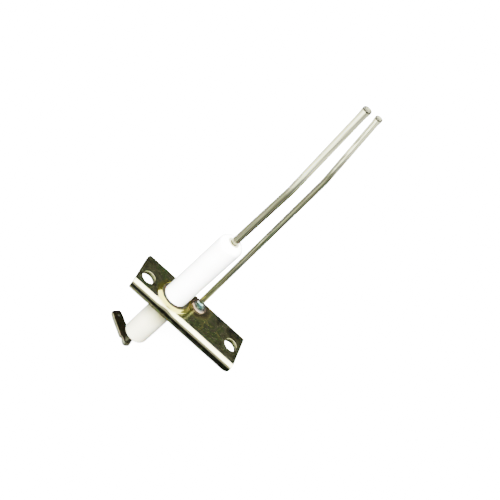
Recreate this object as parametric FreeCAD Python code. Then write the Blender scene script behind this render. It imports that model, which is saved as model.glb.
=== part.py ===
"""Ignition electrode: a spark rod cemented in a ceramic tube, carried by a folded steel
bracket that also carries the welded earth rod. Millimetres, +Z towards the spark tips.

The origin is midway between the two fixing holes, on the bracket's flat underside.
+X runs from the ceramic's end of the bracket to the earth rod's end, and +Y points
away from the folded lip.
"""
import FreeCAD, Part
import math
import os

from FreeCAD import Vector

UP = Vector(0, 0, 1)

# Bracket
SHEET = 2.0                 # sheet thickness; the underside is at z = 0
BRACKET_LENGTH = 50.0
HOLE_PITCH = 41.2
HOLE_D = 5.5                # clearance for M5
HOLE_EDGE_R = 0.3
FOLD_SKEW = 3.6             # degrees between the fold and the line of the fixing holes
REAR_EDGE_V = 9.5           # square distance from the origin to the rear edge
FOLD_V = 6.2                # square distance from the origin to where the fold starts
FOLD_INNER_R = 0.8
LIP_DROP = 1.7              # how far the lip reaches below the underside
REAR_CORNER_R = 1.3         # the one rounded plate corner
SMALL_CORNER_R = 0.4
LIP_CORNER_R = 2.0
LIP_CORNER_TILT = 60.0      # degrees round the fold at which the lip corner was punched
EDGE_R = 0.25               # die roll along the rear top edge

# Drawn collar round the ceramic
AXIS_X, AXIS_Y = -8.2, 0.5  # the ceramic's axis
COLLAR_BORE_R = 6.0
COLLAR_TOP_R = 6.35         # where the flared wall meets the crest
COLLAR_BASE_R = 7.45        # where it meets the plate
COLLAR_HEIGHT = 1.0         # above the plate's top face
COLLAR_FOOT_R = 0.6
COLLAR_SKIRT = 0.35         # ring of drawn metal round the foot, seen only over the fold
COLLAR_CREST_R = 0.4
COLLAR_MOUTH_R = 0.15
COLLAR_ENTRY_R = 0.6        # rounding where the sheet was drawn up, on the underside

# Ceramic tube
CERAMIC_R = 5.0
CERAMIC_TOP = 39.3
CERAMIC_BOTTOM = -25.1
CERAMIC_TOP_EDGE_R = 2.3
CERAMIC_BOTTOM_EDGE_R = 1.2
CERAMIC_BORE_R = 1.6
GROOVE_DEPTH = 0.3          # keys the packing to the ceramic
GROOVE_LOW, GROOVE_HIGH = 1.0, 2.4

# Cement and packing
TIP_POCKET_R = 2.2
TAIL_POCKET_R = 2.8
POCKET_DEPTH = 3.0
CEMENT_RECESS = 0.15
PACKING_LOW = 0.4
PACKING_HIGH = 2.9

# Spark rod
SPARK_R = 1.5
SPARK_BEND_Z = 70.9
SPARK_TIP = Vector(-10.8, 0.5, 112.0)
SPARK_BEND_R = 30.0
ROD_END_CHAMFER = 0.2

# Earth rod
EARTH_R = 1.2
EARTH_FOOT = Vector(1.9, 7.5, SHEET)
EARTH_BEND = Vector(-1.4, 5.75, 79.5)
EARTH_TIP = Vector(-5.5, 3.6, 111.0)
EARTH_BEND_R = 25.0

# Weld that holds the earth rod
WELD_X, WELD_Y = 2.2, 5.4
WELD_R = 3.6
WELD_HEIGHT = 0.75

# Blade terminal under the ceramic
TAB_TOP = -30.6
TAB_THICKNESS = 1.5
TAB_ANGLE = 137.2           # degrees from +X, seen from above
TAB_TWIST = 6.0             # degrees the blade leans sideways about its own length
TAB_REACH = 14.0            # from the rod's axis to the blade's tip
TAB_HALF_WIDTH = 2.4        # a 4.8 mm blade
TAB_TIP_HALF_WIDTH = 1.75
TAB_TIP_TAPER = 1.2
TAB_ROOT_R = 1.8
TAB_SHOULDER = 2.4
TAB_EDGE_R = 0.15
TAB_DIMPLE_BALL_R = 2.2     # shallow detent dimple, pressed in from above
TAB_DIMPLE_DEPTH = 0.15
TAB_DIMPLE_REACH = 11.1
ROD_BELOW_TAB = 0.25        # how far the rod's end stands out under the blade
TERMINAL_WELD_R = 2.1
TERMINAL_WELD_HEIGHT = 0.8

AXIS_FOOT = Vector(AXIS_X, AXIS_Y, 0)


def line(a, b):
    return Part.makeLine(a, b)


def arc(centre, radius, start, end, along, across):
    """An arc edge in the plane of two unit vectors, between angles in degrees."""
    def point(angle):
        turn = math.radians(angle)
        return centre + along * (radius * math.cos(turn)) + across * (radius * math.sin(turn))
    return Part.Arc(point(start), point((start + end) / 2), point(end)).toShape()


def turned(points):
    """The solid of revolution of (radius, z) points about the ceramic's axis."""
    corners = [AXIS_FOOT + Vector(radius, 0, z) for radius, z in points]
    face = Part.Face(Part.makePolygon(corners + corners[:1]))
    return face.revolve(AXIS_FOOT, UP, 360)


def round_edges(solid, radius, chosen):
    return solid.makeFillet(radius, [edge for edge in solid.Edges if chosen(edge)])


def is_ring(edge, radius, z):
    """Whether an edge is the full circle of that radius about +Z, at that height."""
    curve = edge.Curve
    return (isinstance(curve, Part.Circle) and abs(curve.Radius - radius) < 0.01
            and abs(curve.Center.z - z) < 0.01 and abs(curve.Axis.z) > 0.99)


def rod(points, bend_radius, radius):
    """A round rod along two straight runs joined by one tangent bend."""
    start, bend, tip = points
    before = (bend - start).normalize()
    after = (tip - bend).normalize()
    turn = before.getAngle(after)
    setback = bend_radius * math.tan(turn / 2)
    bend_start = bend - before * setback
    bend_end = bend + after * setback
    outward = (before - after).normalize()
    bend_middle = bend - outward * (bend_radius / math.cos(turn / 2) - bend_radius)
    path = Part.Wire([
        line(start, bend_start),
        Part.Arc(bend_start, bend_middle, bend_end).toShape(),
        line(bend_end, tip),
    ])
    section = Part.Wire(Part.makeCircle(radius, start, before))
    solid = path.makePipeShell([section], True, False)
    return round_edges(solid, ROD_END_CHAMFER, lambda edge: is_rod_end(edge, tip, radius))


def is_rod_end(edge, tip, radius):
    curve = edge.Curve
    return (isinstance(curve, Part.Circle) and abs(curve.Radius - radius) < 0.01
            and curve.Center.distanceToPoint(tip) < 0.01)


# Directions of the skewed fold: along it, and square to it towards the rear edge.
FOLD_ALONG = Vector(math.cos(math.radians(FOLD_SKEW)), -math.sin(math.radians(FOLD_SKEW)), 0)
FOLD_SQUARE = UP.cross(FOLD_ALONG)


def sheet_section():
    """The bracket's section across the fold, as a face through the origin."""
    outer_r = FOLD_INNER_R + SHEET
    lip_back = -FOLD_V - FOLD_INNER_R
    lip_front = -FOLD_V - outer_r

    def at(square, z):
        return FOLD_SQUARE * square + UP * z

    def fold(radius, start, end):
        return arc(at(-FOLD_V, -FOLD_INNER_R), radius, start, end, FOLD_SQUARE, UP)

    edges = [
        line(at(-FOLD_V, SHEET), at(REAR_EDGE_V, SHEET)),
        line(at(REAR_EDGE_V, SHEET), at(REAR_EDGE_V, 0)),
        line(at(REAR_EDGE_V, 0), at(-FOLD_V, 0)),
        fold(FOLD_INNER_R, 90, 180),
        line(at(lip_back, -FOLD_INNER_R), at(lip_back, -LIP_DROP)),
        line(at(lip_back, -LIP_DROP), at(lip_front, -LIP_DROP)),
        line(at(lip_front, -LIP_DROP), at(lip_front, -FOLD_INNER_R)),
        fold(outer_r, 90, 180),
    ]
    return Part.Face(Part.Wire(Part.__sortEdges__(edges)))


def lip_corner_cutter():
    """What a punch took off the lip's corner at the +X end, square to the rolled sheet."""
    tilt = math.radians(LIP_CORNER_TILT)
    normal = FOLD_SQUARE * -math.sin(tilt) + UP * math.cos(tilt)
    down = FOLD_SQUARE * -math.cos(tilt) - UP * math.sin(tilt)
    outer_r = FOLD_INNER_R + SHEET
    lowest = FOLD_SQUARE * (-FOLD_V - outer_r) - UP * LIP_DROP
    end = FOLD_ALONG * (BRACKET_LENGTH / 2 / FOLD_ALONG.x)
    centre = end - FOLD_ALONG * LIP_CORNER_R + down * (lowest.dot(down) - LIP_CORNER_R)
    depth = normal * (4 * SHEET)
    waste = Part.Face(Part.makePolygon([
        centre,
        centre + FOLD_ALONG * (2 * LIP_CORNER_R),
        centre + FOLD_ALONG * (2 * LIP_CORNER_R) + down * (2 * LIP_CORNER_R),
        centre + down * (2 * LIP_CORNER_R),
        centre,
    ]))
    waste.translate(depth * -0.5)
    disc = Part.Face(Part.Wire(Part.makeCircle(LIP_CORNER_R, centre - depth * 0.5, normal)))
    return waste.extrude(depth).cut(disc.extrude(depth))


def folded_sheet():
    """The blank with its lip folded down, its ends cut square to the line of holes."""
    long_enough = FOLD_ALONG * (BRACKET_LENGTH + 20)
    section = sheet_section()
    section.translate(long_enough * -0.5)
    sheet = section.extrude(long_enough)
    half = BRACKET_LENGTH / 2
    keep = Part.makeBox(BRACKET_LENGTH, 60, 40, Vector(-half, -30, -20))
    sheet = sheet.common(keep).cut(lip_corner_cutter())

    def upright(edge, x_side):
        middle = edge.CenterOfMass
        return (abs(edge.tangentAt(edge.FirstParameter).z) > 0.99
                and abs(middle.x - x_side * half) < 0.01 and middle.y > FOLD_V)

    def rear_top(edge):
        middle = edge.CenterOfMass
        return abs(middle.z - SHEET) < 0.01 and abs(middle.x) < 1 and middle.y > FOLD_V

    sheet = round_edges(sheet, REAR_CORNER_R, lambda edge: upright(edge, -1))
    sheet = round_edges(sheet, SMALL_CORNER_R, lambda edge: upright(edge, 1))
    return round_edges(sheet, EDGE_R, rear_top)


def bracket():
    """Folded sheet with a collar drawn up round the ceramic and two fixing holes."""
    crest = SHEET + COLLAR_HEIGHT
    sunk = SHEET / 2
    neck = turned([
        (COLLAR_BORE_R, sunk),
        (COLLAR_BORE_R, crest),
        (COLLAR_TOP_R, crest),
        (COLLAR_BASE_R, SHEET),
        (COLLAR_BASE_R + COLLAR_SKIRT, SHEET),
        (COLLAR_BASE_R + 2 * COLLAR_SKIRT, sunk),
    ])
    neck = round_edges(neck, COLLAR_FOOT_R, lambda edge: is_ring(edge, COLLAR_BASE_R, SHEET))
    neck = round_edges(neck, COLLAR_CREST_R, lambda edge: is_ring(edge, COLLAR_TOP_R, crest))
    neck = round_edges(neck, COLLAR_MOUTH_R, lambda edge: is_ring(edge, COLLAR_BORE_R, crest))
    bore = Part.makeCylinder(COLLAR_BORE_R, 4 * SHEET, AXIS_FOOT - UP * SHEET)
    body = folded_sheet().cut(bore).fuse(neck).removeSplitter()
    body = round_edges(body, COLLAR_ENTRY_R, lambda edge: is_ring(edge, COLLAR_BORE_R, 0))
    for side in (-1, 1):
        centre = Vector(side * HOLE_PITCH / 2, 0, -SHEET)
        body = body.cut(Part.makeCylinder(HOLE_D / 2, 4 * SHEET, centre))
    return round_edges(body, HOLE_EDGE_R, lambda edge: is_ring(edge, HOLE_D / 2, SHEET))


def insulator():
    """Glazed ceramic tube: bore, cement pockets at both ends and a key groove."""
    tube = turned([
        (CERAMIC_BORE_R, CERAMIC_BOTTOM + POCKET_DEPTH),
        (TAIL_POCKET_R, CERAMIC_BOTTOM + POCKET_DEPTH),
        (TAIL_POCKET_R, CERAMIC_BOTTOM),
        (CERAMIC_R, CERAMIC_BOTTOM),
        (CERAMIC_R, GROOVE_LOW),
        (CERAMIC_R - GROOVE_DEPTH, GROOVE_LOW),
        (CERAMIC_R - GROOVE_DEPTH, GROOVE_HIGH),
        (CERAMIC_R, GROOVE_HIGH),
        (CERAMIC_R, CERAMIC_TOP),
        (TIP_POCKET_R, CERAMIC_TOP),
        (TIP_POCKET_R, CERAMIC_TOP - POCKET_DEPTH),
        (CERAMIC_BORE_R, CERAMIC_TOP - POCKET_DEPTH),
    ])
    tube = round_edges(tube, CERAMIC_TOP_EDGE_R, lambda edge: is_ring(edge, CERAMIC_R, CERAMIC_TOP))
    return round_edges(tube, CERAMIC_BOTTOM_EDGE_R,
                       lambda edge: is_ring(edge, CERAMIC_R, CERAMIC_BOTTOM))


def collar_packing():
    """Sealing ring rammed between the collar and the ceramic, keyed into the groove."""
    return turned([
        (CERAMIC_R, PACKING_LOW),
        (COLLAR_BORE_R, PACKING_LOW + COLLAR_ENTRY_R),
        (COLLAR_BORE_R, PACKING_HIGH),
        (CERAMIC_R, PACKING_HIGH),
        (CERAMIC_R, GROOVE_HIGH),
        (CERAMIC_R - GROOVE_DEPTH, GROOVE_HIGH),
        (CERAMIC_R - GROOVE_DEPTH, GROOVE_LOW),
        (CERAMIC_R, GROOVE_LOW),
    ])


def cement_plug(pocket_r, inner_z, outer_z):
    """Ring of cement between the rod and a pocket in one end of the ceramic."""
    return turned([(SPARK_R, inner_z), (pocket_r, inner_z), (pocket_r, outer_z), (SPARK_R, outer_z)])


def spark_rod():
    """High-voltage rod: through the ceramic and the terminal, bent once near the tip."""
    points = [
        AXIS_FOOT + UP * (TAB_TOP - TAB_THICKNESS - ROD_BELOW_TAB),
        AXIS_FOOT + UP * SPARK_BEND_Z,
        SPARK_TIP,
    ]
    return rod(points, SPARK_BEND_R, SPARK_R)


def earth_rod():
    """Earth rod: stands on the plate, leans towards the spark rod and is bent once."""
    lean = (EARTH_BEND - EARTH_FOOT).normalize()
    blank = rod([EARTH_FOOT - lean * EARTH_R, EARTH_BEND, EARTH_TIP], EARTH_BEND_R, EARTH_R)
    below = Part.makeBox(8, 8, 4, EARTH_FOOT - Vector(4, 4, 4))
    return blank.cut(below)


def weld_cap(radius, height, foot, direction):
    """A low dome of weld metal standing on a flat face."""
    sphere_r = (radius ** 2 + height ** 2) / (2 * height)
    sphere = Part.makeSphere(sphere_r, foot + direction * (height - sphere_r))
    slab = Part.makeCylinder(2 * radius, height, foot, direction)
    return sphere.common(slab)


def earth_rod_weld():
    cap = weld_cap(WELD_R, WELD_HEIGHT, Vector(WELD_X, WELD_Y, SHEET), UP)
    return cap.cut(earth_rod())


# The way the blade points.
TAB_OUT = Vector(math.cos(math.radians(TAB_ANGLE)), math.sin(math.radians(TAB_ANGLE)), 0)


def twist(shape):
    """Leans a shape with the blade, about the middle line of the strip."""
    shape.rotate(AXIS_FOOT + UP * (TAB_TOP - TAB_THICKNESS / 2), TAB_OUT, -TAB_TWIST)
    return shape


def terminal_tab():
    """Blade terminal: a flat strip with a round root that the rod passes through."""
    out = TAB_OUT
    side = UP.cross(out)
    floor = AXIS_FOOT + UP * (TAB_TOP - TAB_THICKNESS)

    def at(reach, offset):
        return floor + out * reach + side * offset

    root = TAB_ROOT_R
    wide = TAB_HALF_WIDTH
    tip = TAB_TIP_HALF_WIDTH
    taper_start = TAB_REACH - TAB_TIP_TAPER
    shoulder_start = TAB_SHOULDER - (wide - root)
    outline = [
        arc(floor, root, 90, 270, out, side),
        line(at(0, -root), at(shoulder_start, -root)),
        line(at(shoulder_start, -root), at(TAB_SHOULDER, -wide)),
        line(at(TAB_SHOULDER, -wide), at(taper_start, -wide)),
        line(at(taper_start, -wide), at(TAB_REACH, -tip)),
        line(at(TAB_REACH, -tip), at(TAB_REACH, tip)),
        line(at(TAB_REACH, tip), at(taper_start, wide)),
        line(at(taper_start, wide), at(TAB_SHOULDER, wide)),
        line(at(TAB_SHOULDER, wide), at(shoulder_start, root)),
        line(at(shoulder_start, root), at(0, root)),
    ]
    blade = Part.Face(Part.Wire(Part.__sortEdges__(outline))).extrude(UP * TAB_THICKNESS)
    blade = round_edges(blade, TAB_EDGE_R,
                        lambda edge: abs(edge.tangentAt(edge.FirstParameter).z) < 0.01)
    ball_height = TAB_THICKNESS - TAB_DIMPLE_DEPTH + TAB_DIMPLE_BALL_R
    ball = Part.makeSphere(TAB_DIMPLE_BALL_R, at(TAB_DIMPLE_REACH, 0) + UP * ball_height)
    rod_hole = Part.makeCylinder(SPARK_R, 4 * TAB_THICKNESS, floor - UP)
    return twist(blade.cut(ball)).cut(rod_hole)


def terminal_weld():
    """Bead that joins the rod's lower end to the underside of the blade."""
    foot = AXIS_FOOT + UP * (TAB_TOP - TAB_THICKNESS)
    cap = weld_cap(TERMINAL_WELD_R, TERMINAL_WELD_HEIGHT, foot, UP * -1)
    return twist(cap).cut(spark_rod())


def main():
    parts = {
        "bracket": bracket(),
        "insulator": insulator(),
        "collar_packing": collar_packing(),
        "tip_cement": cement_plug(TIP_POCKET_R, CERAMIC_TOP - POCKET_DEPTH,
                                  CERAMIC_TOP - CEMENT_RECESS),
        "tail_cement": cement_plug(TAIL_POCKET_R, CERAMIC_BOTTOM + POCKET_DEPTH,
                                   CERAMIC_BOTTOM + CEMENT_RECESS),
        "spark_rod": spark_rod(),
        "earth_rod": earth_rod(),
        "earth_rod_weld": earth_rod_weld(),
        "terminal_tab": terminal_tab(),
        "terminal_weld": terminal_weld(),
    }
    os.makedirs("parts", exist_ok=True)
    for node, shape in parts.items():
        shape.exportStep("parts/%s.step" % node)
        print("%-16s valid %s solids %d volume %.2f" % (node, shape.isValid(), len(shape.Solids),
                                                       shape.Volume))


main()
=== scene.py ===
"""Looks of the ignition electrode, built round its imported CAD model.

Every piece is a mesh made here at the CAD's place and size, with the small shapes that
pressing, drawing, shearing and welding leave on the real metal. Metres throughout.
"""

import math

import bmesh
import bpy
from mathutils import Matrix, Vector, noise
from mathutils.geometry import delaunay_2d_cdt


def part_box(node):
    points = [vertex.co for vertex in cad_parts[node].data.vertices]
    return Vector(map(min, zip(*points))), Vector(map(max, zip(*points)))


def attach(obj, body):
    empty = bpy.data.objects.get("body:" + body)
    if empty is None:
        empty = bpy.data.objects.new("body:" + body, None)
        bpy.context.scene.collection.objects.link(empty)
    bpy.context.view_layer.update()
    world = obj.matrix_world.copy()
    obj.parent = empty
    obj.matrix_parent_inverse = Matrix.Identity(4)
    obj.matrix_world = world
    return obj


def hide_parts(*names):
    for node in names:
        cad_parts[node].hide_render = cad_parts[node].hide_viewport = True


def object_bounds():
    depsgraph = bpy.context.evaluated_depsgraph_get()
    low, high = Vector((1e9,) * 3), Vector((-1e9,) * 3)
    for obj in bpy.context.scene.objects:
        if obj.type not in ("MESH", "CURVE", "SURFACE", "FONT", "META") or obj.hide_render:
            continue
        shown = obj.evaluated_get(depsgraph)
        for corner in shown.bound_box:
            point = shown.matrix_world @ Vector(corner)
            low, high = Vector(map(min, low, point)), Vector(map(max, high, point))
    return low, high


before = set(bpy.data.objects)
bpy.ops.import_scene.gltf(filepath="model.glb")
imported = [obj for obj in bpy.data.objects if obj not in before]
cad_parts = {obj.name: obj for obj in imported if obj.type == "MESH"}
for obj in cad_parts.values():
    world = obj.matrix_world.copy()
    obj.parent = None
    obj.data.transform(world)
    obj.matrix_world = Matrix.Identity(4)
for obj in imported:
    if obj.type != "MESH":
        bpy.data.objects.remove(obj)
cad_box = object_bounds()

MM = 0.001
UP = Vector((0, 0, 1))

# Bracket
SHEET = 2.0 * MM
BRACKET_HALF = 25.0 * MM
HOLE_X = 20.6 * MM
HOLE_R = 2.75 * MM
FOLD_SKEW = math.radians(3.6)
REAR_EDGE_V = 9.5 * MM
FOLD_V = 6.2 * MM
FOLD_MID_R = 1.8 * MM
LIP_STRAIGHT = 0.9 * MM
FOLD_ALONG = Vector((math.cos(FOLD_SKEW), -math.sin(FOLD_SKEW), 0))
FOLD_SQUARE = UP.cross(FOLD_ALONG)
LATTICE = 0.5 * MM
SLIVER = 0.0001 * MM * MM
EDGE_INSET = 0.2 * MM

# Collar and ceramic
AXIS = Vector((-8.2, 0.5, 0)) * MM
COLLAR_REACH = 8.2 * MM
COLLAR_FOOT_R = 7.1 * MM
COLLAR_CREST_R = 6.2 * MM
COLLAR_BORE_R = 6.0 * MM
COLLAR_SLOPE = 42
CREST_Z = 3.0 * MM
CERAMIC_R = 5.0 * MM
CERAMIC_BORE_R = 1.6 * MM
PACKING_LOW, PACKING_HIGH = 0.5 * MM, 2.9 * MM
TOP_POCKET_R = 2.2 * MM
TAIL_POCKET_R = 2.8 * MM
POCKET_DEPTH = 3.0 * MM
PLUG_RECESS = 0.15 * MM

# How far a filling is let into its neighbours, so that no gap shows
CEMENT_BITE = 0.02 * MM
PACKING_BITE = 0.1 * MM

# Rods
SPARK_R = 1.5 * MM
SPARK_BEND_Z = 70.9 * MM
SPARK_TIP = Vector((-10.8, 0.5, 111.95)) * MM
EARTH_R = 1.2 * MM
EARTH_FOOT = Vector((1.9, 7.5, 2.0)) * MM
EARTH_BEND = Vector((-1.4, 5.75, 79.5)) * MM
EARTH_TIP = Vector((-5.5, 3.6, 110.95)) * MM

# Weld at the earth rod's foot
WELD_CENTRE = Vector((2.2, 5.4, 2.0)) * MM
WELD_R = 3.6 * MM
WELD_HEIGHT = 0.7 * MM

# Blade terminal
TAB_TOP = -30.6 * MM
TAB_SHEET = 1.5 * MM
TAB_ANGLE = math.radians(137.2)
TAB_OUT = Vector((math.cos(TAB_ANGLE), math.sin(TAB_ANGLE), 0))
TAB_TWIST = math.radians(6)
TAB_SIDE = UP.cross(TAB_OUT)
TAB_REACH = 14.0 * MM
TAB_HALF_WIDTH = 2.4 * MM
TAB_TIP_HALF_WIDTH = 1.7 * MM
TAB_ROOT_R = 1.8 * MM
TAB_SHOULDER = 2.4 * MM
TAB_DIMPLE_R = 0.8 * MM
TAB_DIMPLE_DEPTH = 0.1 * MM
TAB_DIMPLE_REACH = 11.1 * MM
TAB_WELD_R = 2.05 * MM
TAB_WELD_HEIGHT = 0.68 * MM
ROD_BELOW_TAB = 0.25 * MM


# ---------------------------------------------------------------- mesh helpers

def make_piece(name, bm, material, node=None):
    """Turns a bmesh into a smooth-shaded piece that stands for its CAD node."""
    bmesh.ops.remove_doubles(bm, verts=bm.verts, dist=0.002 * MM)
    bmesh.ops.recalc_face_normals(bm, faces=bm.faces)
    mesh = bpy.data.meshes.new(name)
    bm.to_mesh(mesh)
    bm.free()
    mesh.shade_smooth()
    piece = bpy.data.objects.new(name, mesh)
    bpy.context.scene.collection.objects.link(piece)
    mesh.materials.append(material)
    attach(piece, "root")
    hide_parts(node or name)
    return piece


def add_rings(bm, rings, around=True):
    """Joins rings of equally many points with quads."""
    rows = [[bm.verts.new(point) for point in ring] for ring in rings]
    count = len(rows[0])
    steps = count if around else count - 1
    for lower, upper in zip(rows, rows[1:]):
        for i in range(steps):
            j = (i + 1) % count
            bm.faces.new((lower[i], lower[j], upper[j], upper[i]))
    return rows


def circle(centre, radius, count):
    """Points of a circle in the XY plane."""
    turns = [2 * math.pi * i / count for i in range(count)]
    return [centre + Vector((math.cos(a), math.sin(a), 0)) * radius for a in turns]


def arc_profile(centre, radius, start, end, steps):
    """(r, z) points along an arc of a section, between angles in degrees."""
    points = []
    for i in range(steps + 1):
        angle = math.radians(start + (end - start) * i / steps)
        points.append((centre[0] + radius * math.cos(angle), centre[1] + radius * math.sin(angle)))
    return points


def lathe(bm, profile, count=96, wobble=0.0, wobble_scale=1.0):
    """A closed ring of revolution about the ceramic's axis, its surface slightly uneven."""
    rings = []
    for r, z in profile + profile[:1]:
        ring = []
        for i in range(count):
            angle = 2 * math.pi * i / count
            spot = Vector((r * math.cos(angle), r * math.sin(angle), z))
            push = wobble * noise.noise(spot / MM * wobble_scale)
            ring.append(AXIS + spot + Vector((math.cos(angle), math.sin(angle), 0.7)) * push)
        rings.append(ring)
    add_rings(bm, rings)


def refine(points, longest):
    """Divides long stretches of a section so that no step is longer than that."""
    fine = []
    for (r0, z0), (r1, z1) in zip(points, points[1:]):
        steps = max(1, math.ceil(math.hypot(r1 - r0, z1 - z0) / longest))
        fine += [(r0 + (r1 - r0) * i / steps, z0 + (z1 - z0) * i / steps) for i in range(steps)]
    return fine + [points[-1]]


def smoothstep(low, high, value):
    """0 up to low, 1 from high on, and a soft rise between; low may be the larger."""
    t = min(1.0, max(0.0, (value - low) / (high - low)))
    return t * t * (3 - 2 * t)


# ---------------------------------------------------------------- pressed sheets

class Outline:
    """A convex corner list with a radius each, which can be drawn at any inset."""

    def __init__(self, corners, step):
        self.corners = corners
        self.step = step
        self.points_per_corner = 8

    def loop(self, inset):
        """The outline moved inwards, always with the same number of points."""
        ends = []
        count = len(self.corners)
        for i, (corner, radius) in enumerate(self.corners):
            before = (self.corners[i - 1][0] - corner).normalized()
            after = (self.corners[(i + 1) % count][0] - corner).normalized()
            half = before.angle(after) / 2
            inward = (before + after).normalized()
            centre = corner + inward * (radius / math.sin(half))
            start = -(after + before * -before.dot(after)).normalized()
            end = -(before + after * -before.dot(after)).normalized()
            arc = []
            for k in range(self.points_per_corner):
                arc.append(centre + start.slerp(end, k / (self.points_per_corner - 1))
                           * (radius - inset))
            ends.append(arc)
        points = []
        for i, arc in enumerate(ends):
            points += arc
            far = ends[(i + 1) % count][0]
            gap = self.gap(i)
            points += [arc[-1].lerp(far, k / gap) for k in range(1, gap)]
        return points

    def gap(self, i):
        """The number of steps in the straight run after corner i."""
        here, there = self.corners[i][0], self.corners[(i + 1) % len(self.corners)][0]
        return max(2, round((there - here).length / self.step))


def inside_polygon(point, polygon):
    """Whether a ray from the point along x crosses the polygon an odd number of times."""
    hit = False
    for a, b in zip(polygon, polygon[1:] + polygon[:1]):
        if (a.y > point.y) != (b.y > point.y):
            if point.x < (b.x - a.x) * (point.y - a.y) / (b.y - a.y) + a.x:
                hit = not hit
    return hit


def distance_to_loop(point, loop):
    """Distance to the nearest of the loop's points."""
    return min((point - corner).length for corner in loop)


def sheet_layers(bm, outline_loop, hole_loops, hole_discs, lattice, placed, margin):
    """The top and bottom faces of a sheet, meshed between its edge loops."""
    spots = [Vector(p).to_2d() for p in outline_loop]
    edges = [(i, (i + 1) % len(spots)) for i in range(len(spots))]
    for loop in hole_loops:
        first = len(spots)
        spots += [Vector(p).to_2d() for p in loop]
        edges += [(first + i, first + (i + 1) % len(loop)) for i in range(len(loop))]
    border = list(spots)
    polygon = [Vector(p).to_2d() for p in outline_loop]
    for spot in lattice:
        flat = spot.to_2d()
        clear = all((flat - c.to_2d()).length > r + margin for c, r in hole_discs)
        if clear and inside_polygon(flat, polygon) and distance_to_loop(flat, border) > margin:
            spots.append(flat)
    found = delaunay_2d_cdt(spots, edges, [], 0, 1e-9)
    for side in (1, -1):
        verts = [bm.verts.new(placed(p.x, p.y, side)) for p in found[0]]
        for face in found[2]:
            a, b, c = (found[0][i] for i in face)
            middle = (a + b + c) / 3
            has_area = abs((b - a).cross(c - a)) > SLIVER
            in_hole = any((middle - c.to_2d()).length < r for c, r in hole_discs)
            if has_area and inside_polygon(middle, polygon) and not in_hole:
                bm.faces.new([verts[i] for i in face])


# Section of a sheared edge, as (inset, height from -1 to 1): die roll on the upper side,
# a smooth cut band, then the torn band leaning in towards a small burr.
SHEARED_EDGE = [
    (0.2, 1.0), (0.14, 0.995), (0.08, 0.97), (0.035, 0.925), (0.008, 0.85), (0.0, 0.76),
    (0.0, 0.3), (0.01, 0.0), (0.03, -0.3), (0.04, -0.6), (0.05, -0.88), (0.08, -0.97),
    (0.14, -1.0), (0.2, -1.0),
]


# ---------------------------------------------------------------- bracket

def on_sheet(x, y, side):
    """Folds a point of the flat blank into place; side is 1 on top and -1 underneath."""
    flat = Vector((x, y, 0))
    along, square = flat.dot(FOLD_ALONG), flat.dot(FOLD_SQUARE)
    dip = 0.012 * MM * (1 + noise.noise(Vector((x, y, 0.003)) / (6 * MM)))
    dip += 0.001 * MM * (1 + noise.noise(Vector((x, y, 0.01)) / (2 * MM)))
    offset = side * (SHEET / 2 - dip)
    beyond = -FOLD_V - square
    if beyond <= 0:
        return Vector((x, y, SHEET / 2 + offset))
    angle = min(beyond / FOLD_MID_R, math.pi / 2)
    straight = max(0.0, beyond - FOLD_MID_R * math.pi / 2)
    radius = FOLD_MID_R + offset
    place = FOLD_ALONG * along + FOLD_SQUARE * (-FOLD_V - radius * math.sin(angle))
    return place + UP * (SHEET / 2 - FOLD_MID_R + radius * math.cos(angle) - straight)


def blank_corner(x, square):
    """Where the blank's end at x meets a line at that square distance from the origin."""
    along = (x - FOLD_SQUARE.x * square) / FOLD_ALONG.x
    return FOLD_ALONG * along + FOLD_SQUARE * square


def collar_rings():
    """Section of the drawn collar, as (r, z, side): over the top, then down the bore."""
    bore, crest = COLLAR_BORE_R, CREST_Z
    drop_steps = 6
    foot, ridge, inner_lip, entry = 0.6 * MM, 0.4 * MM, 0.15 * MM, 0.9 * MM
    slope = math.radians(COLLAR_SLOPE)
    rise = crest - SHEET - (foot + ridge) * (1 - math.cos(slope))
    foot_r = COLLAR_CREST_R + (foot + ridge) * math.sin(slope) + rise / math.tan(slope)
    over = [(COLLAR_REACH, SHEET)]
    over += arc_profile((foot_r, SHEET + foot), foot, 270, 270 - COLLAR_SLOPE, 5)
    over += arc_profile((COLLAR_CREST_R, crest - ridge), ridge, 90 - COLLAR_SLOPE, 90, 6)
    over += arc_profile((bore + inner_lip, crest - inner_lip), inner_lip, 90, 180, 5)
    under = arc_profile((bore + entry, entry), entry, 180, 270, 7)
    under += [(COLLAR_REACH, 0.0)]
    over = refine(over, 0.15 * MM)
    mouth = over[-1][1]
    drop = [(bore, mouth + (entry - mouth) * i / drop_steps) for i in range(1, drop_steps)]
    return [(r, z, 1) for r, z in over + drop] + [(r, z, -1) for r, z in under]


def collar(bm, count):
    """The drawn collar, whose skirt flows over the flat and over the fold."""
    rings = []
    for r, z, side in collar_rings():
        ring = []
        for spot in circle(AXIS, r, count):
            sheet_spot = on_sheet(spot.x, spot.y, side)
            rise = smoothstep(COLLAR_REACH, COLLAR_FOOT_R, r)
            uneven = 0.02 * MM * noise.noise(Vector((spot.x, spot.y, z)) / (3 * MM)) * rise
            out = (spot - AXIS).normalized()
            own = Vector((spot.x, spot.y, z)) + out * uneven * 0.5 + UP * -abs(uneven)
            ring.append(sheet_spot.lerp(own, rise))
        rings.append(ring)
    add_rings(bm, rings)


def edge_strip(bm, loop_at, material_index):
    """The sheared edge of a sheet round one loop; loop_at(inset, side) gives placed points.

    The die roll keeps the sheet's finish, and the cut below it takes the other material.
    """
    roll_rings = 4
    rows = add_rings(bm, [loop_at(inset * MM, side) for inset, side in SHEARED_EDGE])
    for row in rows[roll_rings:]:
        for vert in row:
            for face in vert.link_faces:
                face.material_index = material_index


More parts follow.
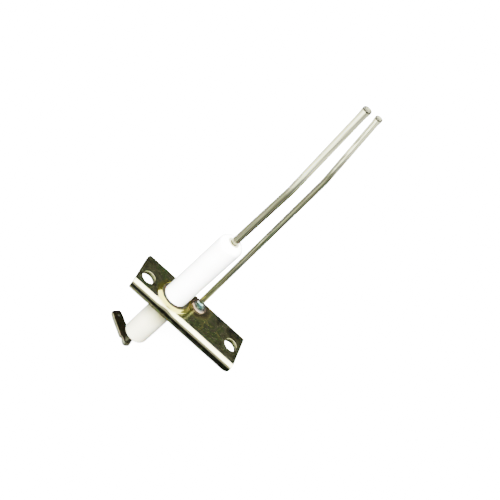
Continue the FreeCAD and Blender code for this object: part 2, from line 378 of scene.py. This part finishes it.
def bracket_lattice():
    """Points spread over the blank, in rows along the fold and closer together on it."""
    rows = [-FOLD_V + LATTICE * i for i in range(int((REAR_EDGE_V + FOLD_V) / LATTICE) + 1)]
    bend_steps = 11
    bend_length = FOLD_MID_R * math.pi / 2
    rows += [-FOLD_V - bend_length * (i + 1) / bend_steps for i in range(bend_steps)]
    columns = math.ceil(BRACKET_HALF / LATTICE) + 6
    return [FOLD_ALONG * (LATTICE * i) + FOLD_SQUARE * row
            for row in rows for i in range(-columns, columns + 1)]


def build_bracket(material, hole_wall, sheared_edge):
    """The pressing: a flat with two holes and the collar, folded down into the lip."""
    lip_end = -FOLD_V - FOLD_MID_R * math.pi / 2 - LIP_STRAIGHT
    rear_left_r, lip_left_r, lip_right_r, rear_right_r = 1.3 * MM, 0.6 * MM, 2.0 * MM, 0.45 * MM
    outline = Outline([
        (blank_corner(-BRACKET_HALF, REAR_EDGE_V), rear_left_r),
        (blank_corner(-BRACKET_HALF, lip_end), lip_left_r),
        (blank_corner(BRACKET_HALF, lip_end), lip_right_r),
        (blank_corner(BRACKET_HALF, REAR_EDGE_V), rear_right_r),
    ], LATTICE)
    holes = [Vector((side * HOLE_X, 0, 0)) for side in (-1, 1)]
    bm = bmesh.new()
    hole_points, collar_points = 56, 112
    discs = [(centre, HOLE_R + EDGE_INSET) for centre in holes] + [(AXIS, COLLAR_REACH)]
    loops = [circle(centre, HOLE_R + EDGE_INSET, hole_points) for centre in holes]
    loops.append(circle(AXIS, COLLAR_REACH, collar_points))
    sheet_layers(bm, outline.loop(EDGE_INSET), loops, discs, bracket_lattice(), on_sheet,
                 0.3 * MM)
    edge_strip(bm, lambda inset, side: [on_sheet(p.x, p.y, side) for p in outline.loop(inset)], 2)
    for centre in holes:
        edge_strip(bm, lambda inset, side, c=centre: [
            on_sheet(p.x, p.y, side) for p in circle(c, HOLE_R + inset, hole_points)], 1)
    collar(bm, collar_points)
    piece = make_piece("bracket_pressing", bm, material, "bracket")
    piece.data.materials.append(hole_wall)
    piece.data.materials.append(sheared_edge)


# ---------------------------------------------------------------- ceramic and its fillings

def build_insulator(material):
    """The tube, with a bored pocket at each end and a groove where the collar grips it."""
    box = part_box("insulator")
    low, high = box[0].z, box[1].z
    shoulder, heel = 2.3 * MM, 1.2 * MM
    rim = 0.2 * MM
    groove, groove_low, groove_high, bevel = 0.3 * MM, 0.9 * MM, 2.5 * MM, 0.15 * MM
    heel_z, shoulder_z = low + POCKET_DEPTH, high - POCKET_DEPTH
    body = [(TAIL_POCKET_R, heel_z), (TAIL_POCKET_R, low + rim)]
    body += arc_profile((TAIL_POCKET_R + rim, low + rim), rim, 180, 270, 4)[1:]
    body += arc_profile((CERAMIC_R - heel, low + heel), heel, 270, 360, 10)
    body += [(CERAMIC_R, groove_low), (CERAMIC_R - groove, groove_low + bevel),
             (CERAMIC_R - groove, groove_high - bevel), (CERAMIC_R, groove_high)]
    body += arc_profile((CERAMIC_R - shoulder, high - shoulder), shoulder, 0, 90, 18)
    body += arc_profile((TOP_POCKET_R + rim, high - rim), rim, 90, 180, 4)
    body += [(TOP_POCKET_R, shoulder_z), (CERAMIC_BORE_R, shoulder_z), (CERAMIC_BORE_R, heel_z)]
    bm = bmesh.new()
    lathe(bm, refine(body, 1.2 * MM), 128, 0.03 * MM, 0.22)
    return make_piece("insulator_tube", bm, material, "insulator")


def build_filling(name, node, material, inner, outer, low, high, slump):
    """A ring of cement or packing with rough, slightly slumped faces."""
    steps = 7
    top, bottom = [], []
    for i in range(steps + 1):
        share = i / steps
        dip = slump * math.sin(math.pi * share)
        top.append((outer + (inner - outer) * share, high - dip))
        bottom.append((inner + (outer - inner) * share, low + dip))
    bm = bmesh.new()
    lathe(bm, refine(bottom + top, 0.3 * MM), 96, 0.06 * MM, 2.6)
    return make_piece(name, bm, material, node)


# ---------------------------------------------------------------- rods

def bent_path(start, bend, tip, radius, spacing):
    """Points and directions along two straight runs and the tangent arc between them."""
    before, after = (bend - start).normalized(), (tip - bend).normalized()
    turn = before.angle(after)
    setback = radius * math.tan(turn / 2)
    arc_start, arc_end = bend - before * setback, bend + after * setback
    points = []
    runs = round((arc_start - start).length / spacing)
    points += [(start.lerp(arc_start, i / runs), before) for i in range(runs)]
    axis = before.cross(after).normalized()
    centre = arc_start + axis.cross(before) * radius
    arc_steps = 12
    for i in range(arc_steps):
        swing = Matrix.Rotation(turn * i / arc_steps, 3, axis)
        points.append((centre + swing @ (arc_start - centre), swing @ before))
    runs = round((tip - arc_end).length / spacing)
    points += [(arc_end.lerp(tip, i / runs), after) for i in range(runs + 1)]
    return points


def rod_ring(centre, direction, radius, count, seed):
    """One ring of a rod, very slightly out of round as drawn wire is after bending."""
    side = direction.cross(Vector((0, 1, 0))).normalized()
    front = direction.cross(side)
    drift = centre.z / MM / 6 + seed
    ring = []
    for i in range(count):
        angle = 2 * math.pi * i / count
        across, ahead = math.cos(angle), math.sin(angle)
        uneven = 0.012 * MM * noise.noise(Vector((across, ahead, drift)))
        ring.append(centre + (side * across + front * ahead) * (radius + uneven))
    return ring


def build_rod(name, node, material, rim_material, path, radius, flare, seed):
    """A drawn rod with a cropped lower end and a tip that the shear has swollen."""
    count = 48
    tip, direction = path[-1]
    swell_length, nose = 2.6 * radius, 0.32 * radius
    rings = []
    first, first_direction = path[0]
    for share in (0.0, 0.5, 0.9):
        rings.append(rod_ring(first, first_direction, max(radius * share, 0.01 * MM), count, seed))
    for centre, heading in path:
        if (tip - centre).length > swell_length:
            rings.append(rod_ring(centre, heading, radius, count, seed))
    steps = 12
    for i in range(steps + 1):
        share = i / steps
        back = swell_length * (1 - share) + nose * share
        rings.append(rod_ring(tip - direction * back, direction,
                              radius * (1 + flare * smoothstep(0, 1, share)), count, seed))
    full = radius * (1 + flare)
    nose_steps = 8
    for i in range(1, nose_steps):
        angle = math.pi / 2 * i / nose_steps
        rings.append(rod_ring(tip - direction * (nose * (1 - math.sin(angle))), direction,
                              full - nose * (1 - math.cos(angle)), count, seed))
    face = full - nose
    face_shares = (0.97, 0.9, 0.8, 0.6, 0.4, 0.2, 0.005)
    for share in face_shares:
        dish = 0.06 * radius * (1 - share)
        rings.append(rod_ring(tip - direction * dish, direction, face * share, count, seed))
    bm = bmesh.new()
    rows = add_rings(bm, rings)
    rim_end = len(face_shares) - 1
    for row in rows[-rim_end - nose_steps - 1:-rim_end]:
        for vert in row:
            for face in vert.link_faces:
                face.material_index = 1
    bm.faces.new(rows[0])
    bm.faces.new(rows[-1])
    rod = make_piece(name, bm, material, node)
    rod.data.materials.append(rim_material)
    return rod


# ---------------------------------------------------------------- welds

def weld_bead(bm, centre, radius, height, direction, rise, seed):
    """A frozen puddle: an uneven outline, a low dome, and ripples that rise() may lift."""
    around, across = 96, 44
    rings = []
    for k in range(across + 1):
        share = max(0.004, 1 - k / across)
        ring = []
        for i in range(around):
            angle = 2 * math.pi * i / around
            heading = Vector((math.cos(angle), math.sin(angle), 0))
            edge = radius * (0.95 + 0.05 * noise.noise(heading * 1.3 + Vector((0, 0, seed))))
            spot = heading * edge * share
            dome = max(0.0, 1 - share ** 6) ** 0.5
            ripple = 0.006 * math.sin(17 * share + 1.6 * noise.noise(heading * 1.1)) * (1 - share ** 4)
            rough = 0.02 * noise.noise(spot / MM * 1.2 + Vector((seed, 0, 0)))
            lift = height * max(0.0, dome * (1 + rough) + ripple * dome) + rise(centre + spot)
            ring.append(centre + spot + direction * min(lift, height * 2.4))
        rings.append(ring)
    base = [point - direction * (point - centre).dot(direction) for point in rings[0]]
    under = [point - direction * 0.02 * MM for point in base]
    hub = [centre + (point - centre) * 0.01 for point in under]
    rows = add_rings(bm, [hub, under] + rings)
    bm.faces.new(rows[-1])
    bm.faces.new(rows[0])


def build_earth_weld(material):
    """The low dome at the earth rod's foot."""
    lean = (EARTH_BEND - EARTH_FOOT).normalized()

    def climb(spot):
        """How far the puddle is drawn up near the rod."""
        foot = EARTH_FOOT + lean * 0.5 * MM
        gap = max(0.0, (spot.to_2d() - foot.to_2d()).length - EARTH_R)
        border = smoothstep(WELD_R, WELD_R * 0.86, (spot - WELD_CENTRE).length)
        return 0.4 * MM * math.exp(-gap / (0.35 * MM)) * border

    bm = bmesh.new()
    weld_bead(bm, WELD_CENTRE, WELD_R, WELD_HEIGHT, UP, climb, 3.1)
    return make_piece("earth_rod_weld_bead", bm, material, "earth_rod_weld")


def twist_with_blade(bm):
    """Leans a mesh with the blade, about the middle line of the strip."""
    bmesh.ops.rotate(bm, verts=bm.verts, cent=AXIS + UP * (TAB_TOP - TAB_SHEET / 2),
                     matrix=Matrix.Rotation(-TAB_TWIST, 3, TAB_OUT))


def build_terminal_weld(material):
    """The bead under the blade, over the spark rod's lower end."""
    underside = AXIS + UP * (TAB_TOP - TAB_SHEET)
    bm = bmesh.new()
    weld_bead(bm, underside, TAB_WELD_R, TAB_WELD_HEIGHT, -UP, lambda spot: 0.0, 8.4)
    twist_with_blade(bm)
    return make_piece("terminal_weld_bead", bm, material, "terminal_weld")


# ---------------------------------------------------------------- blade terminal

def build_tab(material, edge_material):
    """Blade pressed from strip: round root, shoulders, bevelled tip and a detent dimple."""
    middle = TAB_TOP - TAB_SHEET / 2

    def placed(reach, across, side):
        """A point of the strip's upper or lower face, thinner at the tip, with the dimple."""
        wave = 0.01 * MM * noise.noise(Vector((reach, across, 0)) / (2.5 * MM))
        thin = 1 - 0.3 * smoothstep(TAB_REACH - 1.3 * MM, TAB_REACH, reach)
        height = middle + side * TAB_SHEET / 2 * thin + wave - 0.01 * MM * side
        if side == 1:
            dent = math.hypot(reach - TAB_DIMPLE_REACH, across) / TAB_DIMPLE_R
            height -= TAB_DIMPLE_DEPTH * (1 - smoothstep(0.0, 1.0, dent))
        return AXIS + TAB_OUT * reach + TAB_SIDE * across + UP * height

    def loop(inset):
        """Half the outline by its few turns, then mirrored."""
        root, wide, reach = TAB_ROOT_R - inset, TAB_HALF_WIDTH - inset, TAB_REACH - inset
        tip, shoulder = TAB_TIP_HALF_WIDTH - inset * 0.4, TAB_SHOULDER + inset * 0.4
        half = [Vector((root * math.cos(a), root * math.sin(a), 0))
                for a in (math.radians(180 - 9 * i) for i in range(10))]
        stops = [(0, root, 0), (shoulder - 0.6 * MM, root, 0), (shoulder, wide, 0),
                 (reach - 3.2 * MM, wide, 0), (reach - 1.1 * MM, wide - 0.22 * MM, 0),
                 (reach, tip, 0)]
        for a, b, steps in zip(stops, stops[1:], (5, 3, 16, 5, 4)):
            half += [Vector(a).lerp(Vector(b), (i + 1) / steps) for i in range(steps)]
        across = 9
        end = [Vector((reach, tip * (1 - 2 * i / across), 0)) for i in range(1, across)]
        back = [Vector((p.x, -p.y, 0)) for p in reversed(half)]
        return half + end + back[:-1]

    rod_hole = Vector((0, 0, 0))
    hole_r = SPARK_R + 0.02 * MM
    hole_loop = circle(rod_hole, hole_r, 40)
    step = 0.2 * MM
    behind, ahead = math.ceil(TAB_ROOT_R / step), math.ceil(TAB_REACH / step)
    beside = math.ceil(TAB_HALF_WIDTH / step)
    lattice = [Vector((step * (i + 0.5), step * (j + 0.5), 0))
               for i in range(-behind, ahead) for j in range(-beside, beside)]
    bm = bmesh.new()
    sheet_layers(bm, loop(EDGE_INSET), [hole_loop], [(rod_hole, hole_r)], lattice, placed,
                 0.12 * MM)
    edge_strip(bm, lambda i, side: [placed(p.x, p.y, side) for p in loop(i)], 1)
    add_rings(bm, [[placed(p.x, p.y, side) for p in hole_loop] for side in (1, 0, -1)])
    twist_with_blade(bm)
    blade = make_piece("terminal_blade", bm, material, "terminal_tab")
    blade.data.materials.append(edge_material)
    return blade


# ---------------------------------------------------------------- materials

class Shader:
    """A small helper for building one node material."""

    def __init__(self, name):
        self.material = bpy.data.materials.new(name)
        self.material.use_nodes = True
        self.nodes = self.material.node_tree.nodes
        self.links = self.material.node_tree.links
        self.bsdf = self.nodes["Principled BSDF"]
        self.coordinates = self.nodes.new("ShaderNodeTexCoord")

    def set(self, **values):
        """Puts constants on the shader's own sockets."""
        for key, value in values.items():
            self.bsdf.inputs[key.replace("_", " ")].default_value = value

    def link(self, output, target):
        """Feeds an output to the shader's socket of that name."""
        self.links.new(output, self.bsdf.inputs[target])

    def mapped(self, scale):
        """Object coordinates, scaled by that many per metre on each axis."""
        node = self.nodes.new("ShaderNodeMapping")
        node.inputs["Scale"].default_value = scale
        self.links.new(self.coordinates.outputs["Object"], node.inputs["Vector"])
        return node.outputs["Vector"]

    def noise(self, per_metre, detail=4.0, rough=0.55, stretch=(1, 1, 1), distortion=0.0):
        """Fractal noise; a small stretch value draws it out along that axis."""
        node = self.nodes.new("ShaderNodeTexNoise")
        node.inputs["Scale"].default_value = 1.0
        node.inputs["Detail"].default_value = detail
        node.inputs["Roughness"].default_value = rough
        node.inputs["Distortion"].default_value = distortion
        self.links.new(self.mapped([per_metre * s for s in stretch]), node.inputs["Vector"])
        return node.outputs["Fac"]

    def ramp(self, value, stops):
        """A colour ramp; stops are (position, colour or grey)."""
        node = self.nodes.new("ShaderNodeValToRGB")
        ramp = node.color_ramp
        ramp.interpolation = "EASE"
        while len(ramp.elements) < len(stops):
            ramp.elements.new(1.0)
        for element, (position, colour) in zip(ramp.elements, stops):
            element.position = position
            if isinstance(colour, (int, float)):
                colour = (colour, colour, colour)
            element.color = (*colour, 1.0)
        self.links.new(value, node.inputs["Fac"])
        return node.outputs["Color"]

    def mix(self, share, a, b, blend="MIX"):
        """Mixes two colours; each may be an output or a plain colour."""
        node = self.nodes.new("ShaderNodeMix")
        node.data_type = "RGBA"
        node.blend_type = blend
        for source, socket in ((share, node.inputs[0]), (a, node.inputs[6]), (b, node.inputs[7])):
            if isinstance(source, bpy.types.NodeSocket):
                self.links.new(source, socket)
            elif isinstance(source, tuple):
                socket.default_value = (*source, 1.0)
            else:
                socket.default_value = source
        return node.outputs[2]

    def math(self, operation, a, b):
        """Combines two numbers; each may be an output or a plain number."""
        node = self.nodes.new("ShaderNodeMath")
        node.operation = operation
        for source, socket in ((a, node.inputs[0]), (b, node.inputs[1])):
            if isinstance(source, bpy.types.NodeSocket):
                self.links.new(source, socket)
            else:
                socket.default_value = source
        return node.outputs[0]

    def distance(self, point):
        """Distance in millimetres from a point of the shared frame."""
        node = self.nodes.new("ShaderNodeVectorMath")
        node.operation = "DISTANCE"
        node.inputs[1].default_value = point
        self.links.new(self.coordinates.outputs["Object"], node.inputs[0])
        return self.math("MULTIPLY", node.outputs["Value"], 1 / MM)

    def along(self, direction):
        """Millimetres from the frame's origin in that direction."""
        node = self.nodes.new("ShaderNodeVectorMath")
        node.operation = "DOT_PRODUCT"
        node.inputs[1].default_value = direction
        self.links.new(self.coordinates.outputs["Object"], node.inputs[0])
        return self.math("MULTIPLY", node.outputs["Value"], 1 / MM)

    def height(self):
        """Height above the mounting face in millimetres."""
        return self.along(UP)

    def bump(self, height, depth, base=None):
        """Adds relief of that depth in metres to the surface."""
        node = self.nodes.new("ShaderNodeBump")
        node.inputs["Distance"].default_value = depth
        self.links.new(height, node.inputs["Height"])
        if base is not None:
            self.links.new(base, node.inputs["Normal"])
        self.links.new(node.outputs["Normal"], self.bsdf.inputs["Normal"])
        return node.outputs["Normal"]


def passivated_zinc():
    """Yellow chromate over zinc: olive with green and gold bloom, and stained by the weld's heat.

    The fold is painted paler as a painted highlight, and the drawn collar is more golden than the
    flat.
    """
    s = Shader("passivated_zinc")
    s.set(Metallic=1.0)
    bloom = s.noise(230, 5, 0.62, (1, 1, 1), 0.5)
    mottled = s.ramp(bloom, [
        (0.32, (0.08, 0.08, 0.06)), (0.42, (0.2, 0.21, 0.09)), (0.5, (0.3, 0.29, 0.16)),
        (0.58, (0.2, 0.27, 0.1)), (0.7, (0.44, 0.42, 0.15))])
    speckle = s.ramp(s.noise(1300, 2, 0.5), [(0.35, 0.85), (0.65, 1.08)])
    mottled = s.mix(1.0, mottled, speckle, "MULTIPLY")
    heat = s.math("ADD", s.distance(WELD_CENTRE), s.math("MULTIPLY", s.noise(420, 3), 2.2))
    tint = s.ramp(s.math("DIVIDE", heat, 12.0), [
        (0.36, (0.16, 0.15, 0.1)), (0.44, (0.22, 0.18, 0.09)), (0.52, (0.32, 0.27, 0.1)),
        (0.6, (0.5, 0.5, 0.16)), (0.72, (0.34, 0.42, 0.16))])
    near = s.ramp(s.math("DIVIDE", heat, 12.0), [(0.5, 0.85), (0.78, 0.0)])
    colour = s.mix(near, mottled, tint)
    forward = s.math("MULTIPLY", s.along(FOLD_SQUARE), -0.1)
    # Painted highlight: the fold's colour is mixed towards pale cream so that its reflection reads
    # brighter.
    fold_painted_highlight = s.math("MULTIPLY", s.ramp(forward, [(0.6, 0.0), (0.66, 0.85)]),
                  s.ramp(s.height(), [(0.1, 0.0), (1.0, 1.0)]))
    colour = s.mix(fold_painted_highlight, colour, (0.8, 0.78, 0.44))
    drawn = s.ramp(s.math("DIVIDE", s.distance(AXIS + UP * SHEET), 10.0), [(0.7, 1.0), (0.84, 0.0)])
    s.link(s.mix(drawn, colour, (0.34, 0.32, 0.05)), "Base Color")
    s.link(s.ramp(s.noise(500, 3), [(0.3, 0.1), (0.7, 0.17)]), "Roughness")
    s.bump(s.noise(700, 2, 0.5, (0.4, 1.5, 1.0)), 0.004 * MM)
    return s.material


def cut_edge(name, dark, light, torn=True):
    """Sheared metal, scored along the punch's travel; torn darkens it below the sheet's middle."""
    s = Shader(name)
    s.set(Metallic=1.0)
    scores = s.noise(2200, 3, 0.5, (1, 1, 0.12))
    colour = s.ramp(scores, [(0.3, dark), (0.7, light)])
    if torn:
        band = s.ramp(s.height(), [(0.75, 0.15), (1.0, 1.0)])
        colour = s.mix(1.0, colour, band, "MULTIPLY")
    s.link(colour, "Base Color")
    s.link(s.ramp(scores, [(0.3, 0.4), (0.7, 0.55)]), "Roughness")
    s.bump(scores, 0.02 * MM)
    return s.material


def glazed_ceramic():
    """White glaze with a soft orange peel and faint specks; below the plate it is unglazed, and
    painted darker and more olive towards the plate as painted shade and a painted reflection of the
    plate.

    A near-black band of painted shade marks the gap at the collar's mouth.
    """
    s = Shader("glazed_ceramic")
    s.set(IOR=1.54, Coat_Weight=0.6, Coat_Roughness=0.05, Subsurface_Weight=0.12,
          Subsurface_Scale=0.6 * MM)
    body = s.ramp(s.noise(180, 4), [(0.3, (0.86, 0.86, 0.83)), (0.7, (0.92, 0.92, 0.9))])
    speck = s.ramp(s.noise(2600, 2, 0.4), [(0.74, 0.0), (0.8, 0.35)])
    bare = s.ramp(s.math("DIVIDE", s.height(), 10.0), [(0.0, 1.0), (0.2, 0.0)])
    # Painted shade and painted reflection: the unglazed tail is darkest and most olive next to the
    # plate.
    biscuit_with_plate_shade = s.ramp(s.math("DIVIDE", s.height(), -25.0), [
        (0.15, (0.18, 0.175, 0.065)), (0.6, (0.49, 0.48, 0.34))])
    body = s.mix(bare, body, biscuit_with_plate_shade)
    body = s.mix(speck, body, (0.5, 0.46, 0.38))
    # Painted shade: the ceramic is coloured near-black in the gap between it and the collar's crest.
    collar_gap_shade = s.ramp(s.math("DIVIDE", s.height(), 10.0), [
        (0.2, 0.0), (0.24, 1.0), (0.3, 1.0), (0.35, 0.0)])
    s.link(s.mix(collar_gap_shade, body, (0.006, 0.005, 0.002)), "Base Color")
    s.link(s.ramp(s.noise(240, 3), [(0.3, 0.12), (0.7, 0.22)]), "Roughness")
    s.bump(s.noise(520, 2), 0.02 * MM)
    return s.material


def rough_mineral(name, dark, light, per_metre):
    """Cement or packing: crumbly, matt, and darker in its pits."""
    s = Shader(name)
    s.set(Roughness=0.9, Specular_IOR_Level=0.15)
    grains = s.noise(per_metre, 6, 0.7)
    s.link(s.ramp(grains, [(0.3, dark), (0.7, light)]), "Base Color")
    s.bump(grains, 0.12 * MM)
    return s.material


def drawn_alloy(name, dark, light, bared):
    """Drawn wire with fine lines along it, oxidised up to about the height bared in mm."""
    s = Shader(name)
    s.set(Metallic=0.92, Anisotropic=0.3)
    streaks = s.noise(1100, 4, 0.6, (1, 1, 0.03))
    stains = s.noise(150, 4, 0.6, (1, 1, 0.6))
    climb = s.math("ADD", s.height(), s.math("MULTIPLY", stains, 16.0))
    climb = s.math("DIVIDE", s.math("SUBTRACT", climb, bared + 8.0), 16.0)
    colour = s.mix(s.ramp(climb, [(0.0, 0.0), (1.0, 1.0)]), dark, light)
    colour = s.mix(1.0, colour, s.ramp(streaks, [(0.36, 0.5), (0.56, 1.12)]), "MULTIPLY")
    # Darker low down, from near the ceramic's tail to the rod's lower end.
    darker_below_tail = s.ramp(s.math("DIVIDE", s.height(), -60.0), [(0.3, 1.0), (0.42, 0.3)])
    s.link(s.mix(1.0, colour, darker_below_tail, "MULTIPLY"), "Base Color")
    s.link(s.ramp(climb, [(0.0, 0.16), (1.0, 0.22)]), "Roughness")
    lines = s.bump(streaks, 0.012 * MM)
    s.bump(s.noise(3400, 2), 0.004 * MM, lines)
    return s.material


def heat_stained_weld(name, centre):
    """Weld metal: temper colours from blue-green in the middle to straw at the rim."""
    s = Shader(name)
    s.set(Metallic=1.0)
    reach = s.math("ADD", s.distance(centre), s.math("MULTIPLY", s.noise(500, 3), 2.4))
    colour = s.ramp(s.math("DIVIDE", reach, 6.0), [
        (0.2, (0.06, 0.1, 0.14)), (0.34, (0.09, 0.21, 0.17)), (0.46, (0.17, 0.26, 0.19)),
        (0.56, (0.12, 0.13, 0.12)), (0.74, (0.17, 0.12, 0.07))])
    s.link(colour, "Base Color")
    s.link(s.ramp(s.noise(900, 4), [(0.3, 0.2), (0.7, 0.32)]), "Roughness")
    s.bump(s.noise(900, 3, 0.55), 0.008 * MM)
    return s.material


def dark_strip():
    """Blade steel: dark and smooth, with brown and olive stains, and painted shade in the dimple."""
    s = Shader("blade_steel")
    s.set(Metallic=1.0)
    stains = s.ramp(s.noise(330, 5, 0.6), [
        (0.3, (0.05, 0.055, 0.03)), (0.5, (0.1, 0.09, 0.04)), (0.62, (0.13, 0.09, 0.06)),
        (0.75, (0.2, 0.2, 0.1))])
    dimple = AXIS + TAB_OUT * TAB_DIMPLE_REACH + UP * TAB_TOP
    # Painted shade: the shallow dimple is coloured near-black so that it reads as a recess.
    dimple_shade = s.ramp(s.distance(dimple), [(0.5, 1.0), (1.0, 0.0)])
    s.link(s.mix(dimple_shade, stains, (0.01, 0.011, 0.01)), "Base Color")
    s.link(s.ramp(s.noise(800, 3), [(0.3, 0.04), (0.7, 0.08)]), "Roughness")
    s.bump(s.noise(900, 2, 0.5, (0.3, 1, 1)), 0.002 * MM)
    return s.material


# ---------------------------------------------------------------- stage, light and camera

FLOOR_GAP = 1.0 * MM
SWEEP_HUB = 0.3
SWEEP_RADIUS = 1.3
SWEEP_CURVE = 0.5
SWEEP_TOP = 1.6

# Direction, where the glow starts and is full (as a cosine from it), and how bright it is
ROOM_GLOWS = [
    ((0, 1, 0), 0.0, 0.75, 0.18),
    ((-0.8, 0.1, -0.5), 0.45, 0.95, 1.3),
    ((-0.43, -0.71, -0.557), 0.84, 0.97, 4.2),
    ((0.8, 0.0, -0.557), 0.7, 0.97, 0.6),
    ((0, -0.6, 0.8), 0.76, 0.97, 0.7),
    ((0.9, 0.3, 0.3), 0.6, 0.95, 0.6),
]


def make_floor():
    """A pale glowing floor that curves up into a round wall. Only the camera sees it."""
    level = cad_box[0].z - FLOOR_GAP
    curve_centre = (SWEEP_RADIUS - SWEEP_CURVE, level + SWEEP_CURVE)
    profile = [(SWEEP_HUB, level)]
    profile += arc_profile(curve_centre, SWEEP_CURVE, 270, 360, 12)
    profile += [(SWEEP_RADIUS, SWEEP_TOP)]
    bm = bmesh.new()
    rows = add_rings(bm, [circle(UP * z, r, 96) for r, z in profile])
    bm.faces.new(rows[0])
    bmesh.ops.recalc_face_normals(bm, faces=bm.faces)
    mesh = bpy.data.meshes.new("floor")
    bm.to_mesh(mesh)
    bm.free()
    mesh.shade_smooth()
    floor = bpy.data.objects.new("floor", mesh)
    bpy.context.scene.collection.objects.link(floor)
    s = Shader("pale_floor")
    s.set(Roughness=0.9, Specular_IOR_Level=0.1, Emission_Color=(1, 1, 1, 1),
          Emission_Strength=12.0)
    s.link(s.ramp(s.noise(6, 2), [(0.3, (0.88, 0.88, 0.88)), (0.7, (0.9, 0.9, 0.9))]), "Base Color")
    mesh.materials.append(s.material)
    floor.visible_glossy = False
    floor.visible_diffuse = False


def make_light(name, place, aim, size, power, mirrored):
    """A panel that either shows in reflections or lights matt surfaces, but not both."""
    data = bpy.data.lights.new(name, "AREA")
    data.shape = "RECTANGLE"
    data.size, data.size_y = size
    data.energy = power
    lamp = bpy.data.objects.new(name, data)
    lamp.location = place
    lamp.rotation_mode = "QUATERNION"
    lamp.rotation_quaternion = (Vector(aim) - Vector(place)).to_track_quat("-Z", "Y")
    lamp.visible_camera = False
    lamp.visible_glossy = mirrored
    lamp.visible_diffuse = not mirrored
    bpy.context.scene.collection.objects.link(lamp)


def make_world():
    """Soft patches of light in a nearly black room, seen only in reflections and by the camera."""
    world = bpy.data.worlds.new("studio")
    world.use_nodes = True
    world.cycles.sampling_method = "NONE"
    world.cycles_visibility.diffuse = False
    nodes, links = world.node_tree.nodes, world.node_tree.links
    coordinates = nodes.new("ShaderNodeTexCoord")
    room = nodes.new("ShaderNodeRGB")
    room.outputs[0].default_value = (0.03, 0.03, 0.03, 1)
    total = room.outputs[0]
    for direction, faint, full, level in ROOM_GLOWS:
        facing = nodes.new("ShaderNodeVectorMath")
        facing.operation = "DOT_PRODUCT"
        facing.inputs[1].default_value = Vector(direction).normalized()
        spread = nodes.new("ShaderNodeMapRange")
        spread.interpolation_type = "SMOOTHSTEP"
        spread.inputs["From Min"].default_value = faint
        spread.inputs["From Max"].default_value = full
        spread.inputs["To Max"].default_value = level
        adding = nodes.new("ShaderNodeVectorMath")
        adding.operation = "ADD"
        links.new(coordinates.outputs["Generated"], facing.inputs[0])
        links.new(facing.outputs["Value"], spread.inputs["Value"])
        links.new(total, adding.inputs[0])
        links.new(spread.outputs["Result"], adding.inputs[1])
        total = adding.outputs["Vector"]
    links.new(total, nodes["Background"].inputs["Color"])
    bpy.context.scene.world = world


def make_camera():
    """Looks down at the bracket from in front, rolled so that the rods point up and right."""
    azimuth, elevation, roll = math.radians(-13.469), math.radians(33.858), math.radians(48.225)
    target = Vector((-1.186, 4.993, 38.2)) * MM
    distance = 346.7 * MM
    back = Vector((math.sin(azimuth) * math.cos(elevation),
                   -math.cos(azimuth) * math.cos(elevation), math.sin(elevation)))
    level = UP.cross(back).normalized()
    upright = back.cross(level)
    right = level * math.cos(roll) + upright * math.sin(roll)
    up = back.cross(right)
    data = bpy.data.cameras.new("camera")
    data.lens, data.sensor_width = 68.4, 36
    data.clip_start, data.clip_end = 0.01, 20
    camera = bpy.data.objects.new("camera", data)
    turn = Matrix((right, up, back)).transposed()
    camera.matrix_world = Matrix.Translation(target + back * distance) @ turn.to_4x4()
    bpy.context.scene.collection.objects.link(camera)
    bpy.context.scene.camera = camera


# ---------------------------------------------------------------- the whole object

make_camera()
make_world()
make_light("softbox", (0, -0.03, 0.75), (0, -0.03, 0), (2.8, 1.06), 142, True)
make_light("key", (-0.25, -0.6, 0.72), (0, 0, 0), (0.45, 0.45), 240, False)
make_light("fill", (-0.3, 0.8, 0.4), (0, 0, 0.02), (0.6, 0.6), 18, False)
make_floor()

oxide, bare = (0.13, 0.135, 0.07), (0.84, 0.86, 0.52)
rim = cut_edge("cropped_rim", (0.03, 0.03, 0.02), (0.12, 0.12, 0.08))
build_bracket(passivated_zinc(),
              cut_edge("hole_wall", (0.09, 0.09, 0.035), (0.22, 0.23, 0.09)),
              cut_edge("sheared_edge", (0.035, 0.033, 0.02), (0.1, 0.095, 0.055)))
build_insulator(glazed_ceramic())
build_filling("packing_ring", "collar_packing",
              rough_mineral("packing", (0.002, 0.002, 0.001), (0.01, 0.009, 0.004), 1800),
              CERAMIC_R - PACKING_BITE, COLLAR_BORE_R, PACKING_LOW, PACKING_HIGH, 0.05 * MM)
cement = rough_mineral("cement", (0.16, 0.16, 0.1), (0.36, 0.36, 0.26), 1500)
plug_bore = SPARK_R - CEMENT_BITE
tail, top = (corner.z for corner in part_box("insulator"))
build_filling("tip_cement_plug", "tip_cement", cement, plug_bore,
              TOP_POCKET_R + CEMENT_BITE, top - POCKET_DEPTH, top - PLUG_RECESS, 0.12 * MM)
build_filling("tail_cement_plug", "tail_cement", cement, plug_bore,
              TAIL_POCKET_R + CEMENT_BITE, tail + PLUG_RECESS, tail + POCKET_DEPTH, 0.12 * MM)
spark_foot = AXIS + UP * (TAB_TOP - TAB_SHEET - ROD_BELOW_TAB)
spark_path = bent_path(spark_foot, AXIS + UP * SPARK_BEND_Z, SPARK_TIP, 30 * MM, 2.5 * MM)
build_rod("spark_electrode", "spark_rod", drawn_alloy("spark_alloy", oxide, bare, 69.0), rim,
          spark_path, SPARK_R, 0.12, 1.7)
earth_path = bent_path(EARTH_FOOT, EARTH_BEND, EARTH_TIP, 25 * MM, 2.5 * MM)
build_rod("earth_electrode", "earth_rod", drawn_alloy("earth_alloy", oxide, bare, 80.0), rim,
          earth_path, EARTH_R, 0.16, 5.2)
build_earth_weld(heat_stained_weld("earth_weld", WELD_CENTRE + UP * 0.5 * MM))
build_tab(dark_strip(), cut_edge("bare_strip", (0.16, 0.17, 0.1), (0.42, 0.45, 0.3), False))
build_terminal_weld(heat_stained_weld("tail_weld", AXIS + UP * TAB_TOP))
